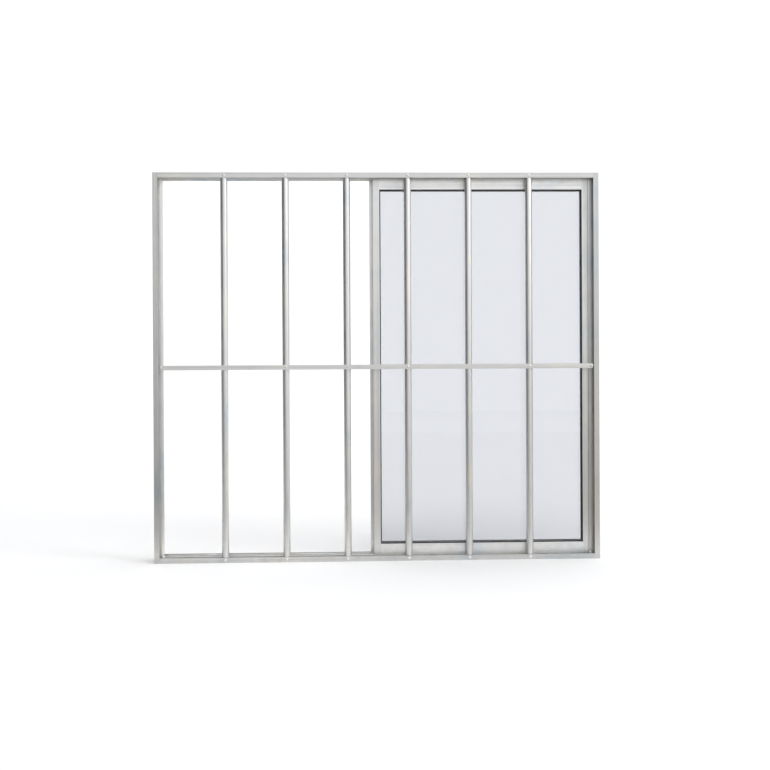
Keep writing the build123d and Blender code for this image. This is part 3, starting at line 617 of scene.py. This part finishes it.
class WINDOWBARS_OT_pile_strips(Operator):
    """Pile strips: a woven backing with rows of tufts, in place of the plain strips"""

    bl_idname = "window_bars.pile_strips"
    bl_label = "Pile Strips"

    # shares of a strip's depth that tufts reach, and of half a tuft's width that they lean and cover
    shortest, tallest = 0.82, 0.99
    lean_lengthwise, lean_crosswise = 0.35, 0.5
    foot_reach = 0.95
    foot_sides = 3

    def execute(self, context):
        settings = context.scene.window_bars.pile
        fibre = pile_fibre(settings)
        for sash in SASHES:
            node = f"{sash}_brushes"
            rail_low, rail_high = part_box(f"{sash}_top_rail")
            middle = (rail_low.y + rail_high.y) / 2
            strips = bmesh.new()
            draw = random.Random(node)
            for low, high in solids_of(node):
                outward = -1 if (low.y + high.y) / 2 < middle else 1
                self.strip(strips, low, high, outward, settings, draw)
            mesh = bpy.data.meshes.new(f"{sash}_pile")
            strips.to_mesh(mesh)
            strips.free()
            piece = new_piece(f"{sash}_pile", mesh, fibre, f"{sash}_sash")
            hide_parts(node)
        return {"FINISHED"}

    def strip(self, mesh, low, high, outward, settings, draw):
        """One strip between two corners; its tufts stand along Y, each a slender pyramid."""
        root_y = high.y if outward < 0 else low.y
        crown_y = low.y if outward < 0 else high.y
        back_y = root_y + outward * settings.backing
        size = Vector((high.x - low.x, settings.backing, high.z - low.z))
        middle = Vector(((low.x + high.x) / 2, (root_y + back_y) / 2, (low.z + high.z) / 2))
        bmesh.ops.create_cube(mesh, size=1.0, matrix=Matrix.Translation(middle) @ Matrix.Diagonal((*size, 1)))
        lengthwise = 0 if size.x > size.z else 2
        crosswise = 2 - lengthwise
        count = int(size[lengthwise] / settings.tuft_pitch)
        half_tuft = min(settings.tuft_pitch, size[crosswise] / settings.tuft_rows) / 2
        for row in range(settings.tuft_rows):
            across = low[crosswise] + size[crosswise] * (row + 0.5) / settings.tuft_rows
            for i in range(count):
                foot = Vector((0, root_y + outward * settings.backing * 0.5, 0))
                foot[lengthwise] = low[lengthwise] + (i + 0.5) * size[lengthwise] / count
                foot[crosswise] = across
                tip = foot.copy()
                tip.y = back_y + (crown_y - back_y) * draw.uniform(self.shortest, self.tallest)
                tip[lengthwise] += draw.uniform(-self.lean_lengthwise, self.lean_lengthwise) * half_tuft
                tip[crosswise] += draw.uniform(-self.lean_crosswise, self.lean_crosswise) * half_tuft
                turn = draw.uniform(0, math.tau)
                ring = []
                for k in range(self.foot_sides):
                    angle = turn + k * math.tau / self.foot_sides
                    corner = foot.copy()
                    corner[lengthwise] += half_tuft * self.foot_reach * math.cos(angle)
                    corner[crosswise] += half_tuft * self.foot_reach * math.sin(angle)
                    ring.append(mesh.verts.new(corner))
                point = mesh.verts.new(tip)
                mesh.faces.new(ring[::-1])
                for k in range(self.foot_sides):
                    mesh.faces.new((ring[k], ring[(k + 1) % self.foot_sides], point))
        mesh.normal_update()


class WINDOWBARS_OT_rollers(Operator):
    """Nylon rollers, their folded housings and pins"""

    bl_idname = "window_bars.rollers"
    bl_label = "Rollers"

    wheel_radius = 0.3 * MM
    steel_radius = 0.15 * MM

    def execute(self, context):
        settings = context.scene.window_bars.hardware
        wheels = [f"{sash}_wheel_{side}" for sash in SASHES for side in ("left", "right")]
        dress(wheels, turned_nylon(settings), self.wheel_radius)
        plate = zinc_steel(settings, "housing_plate", dullness=0.40)
        dress([f"{sash}_roller_housings" for sash in SASHES], plate, self.steel_radius)
        pin = zinc_steel(settings, "axle_steel", dullness=0.26, darkness=0.15)
        dress([f"{sash}_roller_axles" for sash in SASHES], pin, self.steel_radius)
        return {"FINISHED"}


class WINDOWBARS_OT_latches(Operator):
    """Black latch cases and sliders"""

    bl_idname = "window_bars.latches"
    bl_label = "Latches"

    moulded_radius = 0.3 * MM

    def execute(self, context):
        plastic = moulded_plastic(context.scene.window_bars.hardware)
        for sash in SASHES:
            dress((f"{sash}_latch_case", f"{sash}_latch_slider"), plastic, self.moulded_radius)
        return {"FINISHED"}


class WINDOWBARS_OT_fasteners(Operator):
    """Rivets with steel mandrels, and all screws"""

    bl_idname = "window_bars.fasteners"
    bl_label = "Rivets and Screws"

    mandrel_radius = 0.95 * MM
    square_on = 0.9  # least part of a face's normal along Y

    def execute(self, context):
        settings = context.scene.window_bars.hardware
        head = bright_rivet(settings)
        mandrel = zinc_steel(settings, "mandrel_steel", dullness=0.45, darkness=0.45)
        for name in ("bar_rivets_top", "bar_rivets_bottom", "crossbar_rivets"):
            dress((name,), head)
            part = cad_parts[name]
            part.data.materials.append(mandrel)
            centres = [(low + high) / 2 for low, high in solids_of(name)]
            for face in part.data.polygons:
                middle = face.center
                nearest = min(centres, key=lambda c: abs(c.x - middle.x))
                reach = math.hypot(middle.x - nearest.x, middle.z - nearest.z)
                outward = abs(face.normal.y) > self.square_on and middle.y < nearest.y
                if outward and reach < self.mandrel_radius:
                    face.material_index = 1
        steel = zinc_steel(settings, "screw_plate", dullness=0.30)
        screws = ["frame_screws", "crossbar_end_screws", "keeper_screws"]
        screws += [f"{sash}_{kind}_screws" for sash in SASHES for kind in ("corner", "latch")]
        dress(screws, steel)
        return {"FINISHED"}


class WINDOWBARS_OT_stops_and_keepers(Operator):
    """Rubber stops and steel keepers on the jambs"""

    bl_idname = "window_bars.stops_and_keepers"
    bl_label = "Stops and Keepers"

    stop_radius = 0.4 * MM
    stop_bloom = 0.035
    keeper_radius = 0.2 * MM

    def execute(self, context):
        settings = context.scene.window_bars
        buffer = rubber(settings.glazing, "stop_rubber_skin", self.stop_bloom)
        plate = zinc_steel(settings.hardware, "keeper_plate", dullness=0.34)
        dress(("jamb_stops_left", "jamb_stops_right"), buffer, self.stop_radius)
        dress(("keeper_left", "keeper_right"), plate, self.keeper_radius)
        return {"FINISHED"}


class WINDOWBARS_OT_sealant(Operator):
    """Irregular dabs of sealant in the lower corners, in place of the plain domes"""

    bl_idname = "window_bars.sealant"
    bl_label = "Sealant"

    # how far a dab reaches towards its plain dome on the whole and at most, and the lumps' share
    mean_reach, most_reach, lump_share = 0.84, 0.98, 0.22
    # broad and fine lumps: how close they stand, and a shift that makes the dabs differ
    broad_lumps, broad_offset = 1.3, 40
    fine_lumps, fine_offset = 3.1, 90
    fine_share = 0.5
    merge_gap = 0.02 * MM
    subdivisions = 4

    def execute(self, context):
        mesh = bpy.data.meshes.new("sealant_dabs")
        dabs = bmesh.new()
        for low, high in solids_of("corner_sealant"):
            ball = bmesh.ops.create_icosphere(dabs, subdivisions=self.subdivisions, radius=1.0)
            half = Vector(((high.x - low.x) / 2, high.y - low.y, (high.z - low.z) / 2))
            middle = Vector(((low.x + high.x) / 2, high.y, (low.z + high.z) / 2))
            for vert in ball["verts"]:
                way = vert.co.normalized()
                broad = noise.noise(way * self.broad_lumps + middle * self.broad_offset)
                fine = noise.noise(way * self.fine_lumps + middle * self.fine_offset)
                lump = broad + self.fine_share * fine
                reach = min(self.most_reach, self.mean_reach + self.lump_share * lump)
                point = Vector(way[i] * half[i] * reach for i in range(3))
                point.y = min(point.y, 0.0)
                vert.co = middle + point
        bmesh.ops.remove_doubles(dabs, verts=dabs.verts, dist=self.merge_gap)
        dabs.to_mesh(mesh)
        dabs.free()
        for face in mesh.polygons:
            face.use_smooth = True
        piece = new_piece("sealant_dabs", mesh, silicone(context.scene.window_bars.glazing), "root")
        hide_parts("corner_sealant")
        return {"FINISHED"}


class WINDOWBARS_OT_stage(Operator):
    """Pale floor and backdrop, soft light and the camera"""

    bl_idname = "window_bars.stage"
    bl_label = "Stage"

    # the cove, in metres
    half_width = 7.0
    front_edge = -7.0
    back_edge = 3.6
    cove_radius = 1.4
    wall_top = 6.0
    cove_steps = 24

    # square lights: name, place, the point it looks at, its side, and the setting with its power
    lamps = (
        ("key_light", (3.6, -2.4, 3.0), (0.0, 0.0, 0.55), 2.2, "key_power"),
        ("backdrop_light", (0.0, 1.1, 4.0), (0.0, 3.6, 1.2), 3.0, "backdrop_power"),
        ("floor_light", (0.0, -3.4, 4.6), (0.0, -2.6, 0.0), 2.5, "floor_power"),
    )

    # cards: name, tone, both ends of one edge, and the way from there to the opposite edge
    cards = (
        ("side_card", (0.02, 0.02, 0.02), (-3.4, -3.4, 0.0), (-3.4, 3.4, 0.0), (0.0, 0.0, 5.0)),
        ("floor_card", (0.27, 0.25, 0.215), (-3.4, -4.5, 0.01), (3.4, -4.5, 0.01), (0.0, 4.2, 0.0)),
        ("rear_card", (0.40, 0.40, 0.40), (-3.4, 3.2, 0.0), (3.4, 3.2, 0.0), (0.0, 0.0, 4.5)),
    )

    # the soft light all round: its bright side, and the tone at two places from dim to bright
    bright_side = Vector((0.58, -0.62, 0.52)).normalized()
    dim_place, dim_tone = 0.32, (0.22, 0.22, 0.22, 1)
    bright_place, bright_tone = 0.92, (1.0, 1.005, 1.02, 1)
    seen_tone = (0.93, 0.93, 0.93, 1)

    # place and clipping in metres, turns in degrees, sensor in millimetres, shift in sensor widths
    camera_place = (-0.124, -3.4374, 0.595)
    camera_yaw = 2.417
    camera_pitch = -0.231
    camera_roll = -0.279
    camera_shift = -0.052
    camera_sensor = 36.0
    camera_far_end = 50.0

    def execute(self, context):
        settings = context.scene.window_bars.stage
        self.cove(context, settings)
        self.sky(context, settings)
        for name, place, target, side, power in self.lamps:
            self.lamp(context, name, place, target, side, getattr(settings, power))
        for name, tone, start, end, rise in self.cards:
            self.card(context, name, tone, start, end, rise)
        self.camera(context, settings)
        context.scene.view_settings.view_transform = "Standard"
        return {"FINISHED"}

    def cove(self, context, settings):
        """Floor that curves up into a backdrop."""
        profile = [(self.front_edge, 0.0)]
        for step in range(self.cove_steps + 1):
            turn = math.radians(90) * step / self.cove_steps
            profile.append((self.back_edge - self.cove_radius + self.cove_radius * math.sin(turn),
                            self.cove_radius * (1 - math.cos(turn))))
        profile.append((self.back_edge, self.wall_top))
        mesh = bpy.data.meshes.new("studio_cove")
        points = [(side * self.half_width, y, z) for y, z in profile for side in (-1, 1)]
        faces = [(2 * i, 2 * i + 1, 2 * i + 3, 2 * i + 2) for i in range(len(profile) - 1)]
        mesh.from_pydata(points, [], faces)
        for face in mesh.polygons:
            face.use_smooth = True
        scuffed = [c * 0.985 for c in settings.floor]
        paint = Finish("studio_paint", settings.floor, roughness=0.9, Specular_IOR_Level=0.1)
        mottle = paint.noise(0.8)
        paint.colour(paint.blend(paint.spread(mottle, 0.3, 0.7, 0.0, 0.3), settings.floor, scuffed))
        mesh.materials.append(paint.material)
        cove = bpy.data.objects.new("studio_cove", mesh)
        context.scene.collection.objects.link(cove)
        return cove

    def card(self, context, name, tone, start, end, rise):
        """Flat card that only the reflections see; it tones down what the metal mirrors."""
        start, end, rise = Vector(start), Vector(end), Vector(rise)
        mesh = bpy.data.meshes.new(name)
        mesh.from_pydata([start, end, end + rise, start + rise], [], [(0, 1, 2, 3)])
        mesh.materials.append(Finish(f"{name}_paint", tone, roughness=0.9).material)
        card = bpy.data.objects.new(name, mesh)
        context.scene.collection.objects.link(card)
        for ray in ("camera", "diffuse", "transmission", "shadow", "volume_scatter"):
            setattr(card, f"visible_{ray}", False)

    def sky(self, context, settings):
        """Soft light all round: bright at the upper right in front, darker on the other side."""
        world = bpy.data.worlds.new("studio_light")
        world.use_nodes = True
        nodes, links = world.node_tree.nodes, world.node_tree.links
        nodes.clear()
        direction = nodes.new("ShaderNodeTexCoord").outputs["Generated"]
        toward = nodes.new("ShaderNodeVectorMath")
        toward.operation = "DOT_PRODUCT"
        toward.inputs[1].default_value = self.bright_side
        links.new(direction, toward.inputs[0])
        ramp = nodes.new("ShaderNodeValToRGB")
        ramp.color_ramp.interpolation = "EASE"
        change = nodes.new("ShaderNodeMapRange")
        change.inputs["From Min"].default_value = -1.0
        change.inputs["From Max"].default_value = 1.0
        links.new(toward.outputs["Value"], change.inputs["Value"])
        links.new(change.outputs["Result"], ramp.inputs["Fac"])
        first, last = ramp.color_ramp.elements
        first.position, first.color = self.dim_place, self.dim_tone
        last.position, last.color = self.bright_place, self.bright_tone
        seen = nodes.new("ShaderNodeMix")
        seen.data_type = "RGBA"
        colours = [socket for socket in seen.inputs if socket.type == "RGBA"]
        links.new(nodes.new("ShaderNodeLightPath").outputs["Is Camera Ray"], seen.inputs["Factor"])
        links.new(ramp.outputs["Color"], colours[0])
        colours[1].default_value = self.seen_tone
        background = nodes.new("ShaderNodeBackground")
        background.inputs["Strength"].default_value = settings.sky
        links.new([socket for socket in seen.outputs if socket.type == "RGBA"][0],
                  background.inputs["Color"])
        output = nodes.new("ShaderNodeOutputWorld")
        links.new(background.outputs["Background"], output.inputs["Surface"])
        context.scene.world = world

    def lamp(self, context, name, place, target, side, power):
        """Square soft light that looks at a point."""
        light = bpy.data.lights.new(name, "AREA")
        light.size = side
        light.energy = power
        lamp = bpy.data.objects.new(name, light)
        lamp.location = place
        lamp.rotation_euler = (Vector(target) - Vector(place)).to_track_quat("-Z", "Y").to_euler()
        context.scene.collection.objects.link(lamp)

    def camera(self, context, settings):
        """Camera in front of the grille, a little to the left of the middle."""
        yaw, pitch, roll = (math.radians(a) for a in (self.camera_yaw, self.camera_pitch, self.camera_roll))
        ahead = Vector((math.sin(yaw) * math.cos(pitch), math.cos(yaw) * math.cos(pitch), math.sin(pitch)))
        level = ahead.cross(Vector((0, 0, 1))).normalized()
        above = level.cross(ahead)
        right = level * math.cos(roll) + above * math.sin(roll)
        up = right.cross(ahead)
        lens = bpy.data.cameras.new("camera")
        lens.sensor_width = self.camera_sensor
        lens.lens = settings.lens
        lens.shift_y = self.camera_shift
        lens.clip_end = self.camera_far_end
        camera = bpy.data.objects.new("camera", lens)
        turn = Matrix((right, up, -ahead)).transposed().to_4x4()
        camera.matrix_world = Matrix.Translation(self.camera_place) @ turn
        context.scene.collection.objects.link(camera)
        context.scene.camera = camera


OPERATORS = (
    WINDOWBARS_OT_outer_frame, WINDOWBARS_OT_grille, WINDOWBARS_OT_sash_members, WINDOWBARS_OT_glass,
    WINDOWBARS_OT_gaskets, WINDOWBARS_OT_pile_strips, WINDOWBARS_OT_rollers, WINDOWBARS_OT_latches,
    WINDOWBARS_OT_fasteners, WINDOWBARS_OT_stops_and_keepers, WINDOWBARS_OT_sealant,
    WINDOWBARS_OT_stage,
)


class WINDOWBARS_PT_panel(Panel):
    """Settings and steps of the window"""

    bl_idname = "WINDOWBARS_PT_panel"
    bl_label = "Window With Security Bars"
    bl_space_type = "VIEW_3D"
    bl_region_type = "UI"
    bl_category = "Window Bars"

    def draw(self, context):
        settings = context.scene.window_bars
        for name in ("aluminium", "glazing", "pile", "hardware", "stage"):
            box = self.layout.box()
            box.label(text=name.capitalize())
            group = getattr(settings, name)
            for field in group.__annotations__:
                box.prop(group, field)
        for operator in OPERATORS:
            self.layout.operator(operator.bl_idname)


CLASSES = (
    AluminiumSettings, GlazingSettings, PileSettings, HardwareSettings, StageSettings,
    WindowBarSettings, *OPERATORS, WINDOWBARS_PT_panel,
)


def register():
    for cls in CLASSES:
        bpy.utils.register_class(cls)
    bpy.types.Scene.window_bars = PointerProperty(type=WindowBarSettings)


def unregister():
    del bpy.types.Scene.window_bars
    for cls in reversed(CLASSES):
        bpy.utils.unregister_class(cls)


def main():
    register()
    steps = bpy.ops.window_bars
    steps.outer_frame()
    steps.grille()
    steps.sash_members()
    steps.glass()
    steps.gaskets()
    steps.pile_strips()
    steps.rollers()
    steps.latches()
    steps.fasteners()
    steps.stops_and_keepers()
    steps.sealant()
    steps.stage()


if __name__ == "__main__":
    main()
